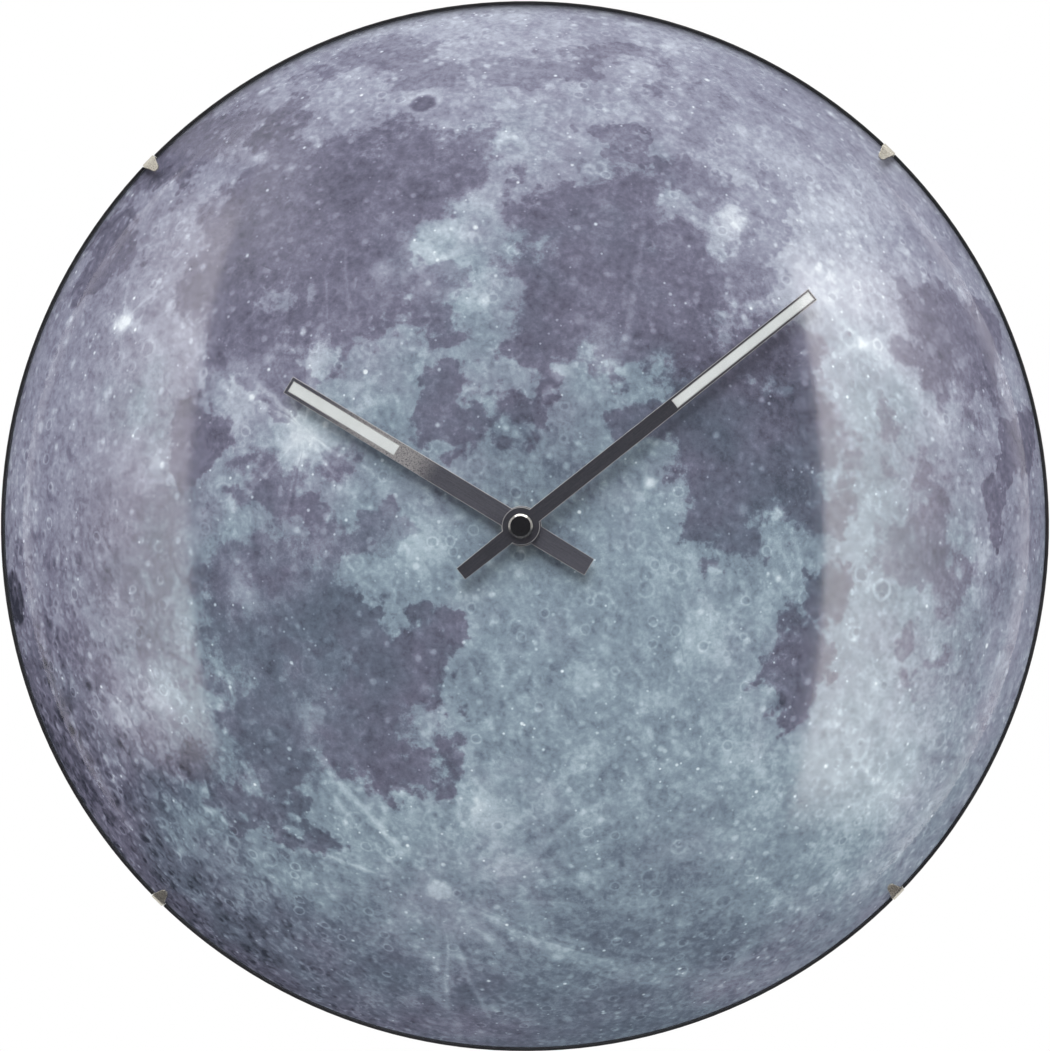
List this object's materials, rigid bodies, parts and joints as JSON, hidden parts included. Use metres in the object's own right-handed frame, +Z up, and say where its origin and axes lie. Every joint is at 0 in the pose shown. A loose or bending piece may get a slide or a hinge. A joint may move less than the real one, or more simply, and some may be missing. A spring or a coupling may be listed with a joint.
{
  "type": "quartz wall clock",
  "caption": "Round wall clock: domed glass clipped to a black panel, full Moon dial, two straight hands and a quartz movement with battery behind.",
  "frame": {"origin": "the wall nail's bearing point: upper end of the hanger's keyhole, on the wall plane", "axes": "+Y points into the wall, so the dial faces -Y; +X is to the viewer's right; +Z is up"},
  "size_m": [0.35, 0.053, 0.35],
  "materials": {
    "black_plastic": "moulded, fine satin texture",
    "moon_print": "printed sheet with a picture of the full Moon",
    "clear_glass": "clear, polished, ground edge",
    "clip_steel": "plated sheet, satin",
    "plated_steel": "zinc plated",
    "gunmetal": "dark brushed",
    "luminous_white": "pale luminous paint",
    "gloss_black": "polished",
    "brass": "turned",
    "black_rubber": "matte",
    "white_plastic": "moulded",
    "magnet": "ground",
    "copper": "lacquered wire",
    "green_board": "solder mask",
    "battery_jacket": "plain printed jacket with no lettering"
  },
  "bodies": {
    "clock_case": {"back_panel": "black_plastic", "movement_case": "black_plastic", "movement_cover": "black_plastic", "clock_chip": "black_plastic", "dial_sheet": "moon_print", "dome_glass": "clear_glass", "glass_clip_1": "clip_steel", "glass_clip_2": "clip_steel", "glass_clip_3": "clip_steel", "glass_clip_4": "clip_steel", "clip_screw_1": "plated_steel", "clip_screw_2": "plated_steel", "clip_screw_3": "plated_steel", "clip_screw_4": "plated_steel", "hanger_screw_1": "plated_steel", "hanger_screw_2": "plated_steel", "wall_hanger": "plated_steel", "stator": "plated_steel", "coil_core": "plated_steel", "quartz_crystal": "plated_steel", "contact_negative": "plated_steel", "contact_positive": "plated_steel", "shaft_bush": "brass", "brass_washer": "brass", "bush_nut": "brass", "rubber_washer": "black_rubber", "middle_plate": "white_plastic", "coil_bobbin": "white_plastic", "coil_winding": "copper", "circuit_board": "green_board"},
    "minute_hand": {"minute_hand": "gunmetal", "minute_strip": "luminous_white", "minute_arbor": "brass", "clutch_spring": "plated_steel", "hand_cap": "gloss_black"},
    "hour_hand": {"hour_hand": "gunmetal", "hour_strip": "luminous_white", "hour_wheel": "white_plastic"},
    "setting_arbor": {"reverse_wheel": "white_plastic", "setting_knob": "black_plastic"},
    "rotor": {"rotor_pinion": "white_plastic", "rotor_magnet": "magnet"},
    "intermediate_wheel": {"intermediate_wheel": "white_plastic"},
    "seconds_wheel": {"seconds_wheel": "white_plastic"},
    "third_wheel": {"third_wheel": "white_plastic"},
    "centre_wheel": {"centre_wheel": "white_plastic"},
    "battery": {"battery": "battery_jacket"}
  },
  "joints": [
    {"name": "minute_hand_turn", "type": "hinge", "parent": "clock_case", "child": "minute_hand", "pos_m": [0, -0.012, -0.076], "axis": [0, 1, 0], "continuous": true},
    {"name": "hour_hand_turn", "type": "hinge", "parent": "clock_case", "child": "hour_hand", "pos_m": [0, -0.012, -0.076], "axis": [0, 1, 0], "continuous": true},
    {"name": "setting_knob_turn", "type": "hinge", "parent": "clock_case", "child": "setting_arbor", "pos_m": [0.012, -0.012, -0.076], "axis": [0, 1, 0], "continuous": true},
    {"name": "rotor_turn", "type": "hinge", "parent": "clock_case", "child": "rotor", "pos_m": [0.00943, -0.012, -0.06195], "axis": [0, 1, 0], "continuous": true},
    {"name": "intermediate_wheel_turn", "type": "hinge", "parent": "clock_case", "child": "intermediate_wheel", "pos_m": [0, -0.012, -0.06448], "axis": [0, 1, 0], "continuous": true},
    {"name": "seconds_wheel_turn", "type": "hinge", "parent": "clock_case", "child": "seconds_wheel", "pos_m": [0, -0.012, -0.076], "axis": [0, 1, 0], "continuous": true},
    {"name": "third_wheel_turn", "type": "hinge", "parent": "clock_case", "child": "third_wheel", "pos_m": [-0.01148, -0.012, -0.076], "axis": [0, 1, 0], "continuous": true},
    {"name": "centre_wheel_turn", "type": "hinge", "parent": "clock_case", "child": "centre_wheel", "pos_m": [0, -0.012, -0.076], "axis": [0, 1, 0], "continuous": true},
    {"name": "battery_out", "type": "slide", "parent": "clock_case", "child": "battery", "axis": [0, 1, 0], "range_m": [0, 0.025]}
  ],
  "couplings": [
    {"joint": "hour_hand_turn", "follows": "minute_hand_turn", "ratio": 0.083333},
    {"joint": "setting_knob_turn", "follows": "minute_hand_turn", "ratio": -0.33333},
    {"joint": "intermediate_wheel_turn", "follows": "rotor_turn", "ratio": -0.16667},
    {"joint": "seconds_wheel_turn", "follows": "rotor_turn", "ratio": 0.033333},
    {"joint": "third_wheel_turn", "follows": "rotor_turn", "ratio": -0.0044444},
    {"joint": "centre_wheel_turn", "follows": "rotor_turn", "ratio": 0.00055556}
  ]
}
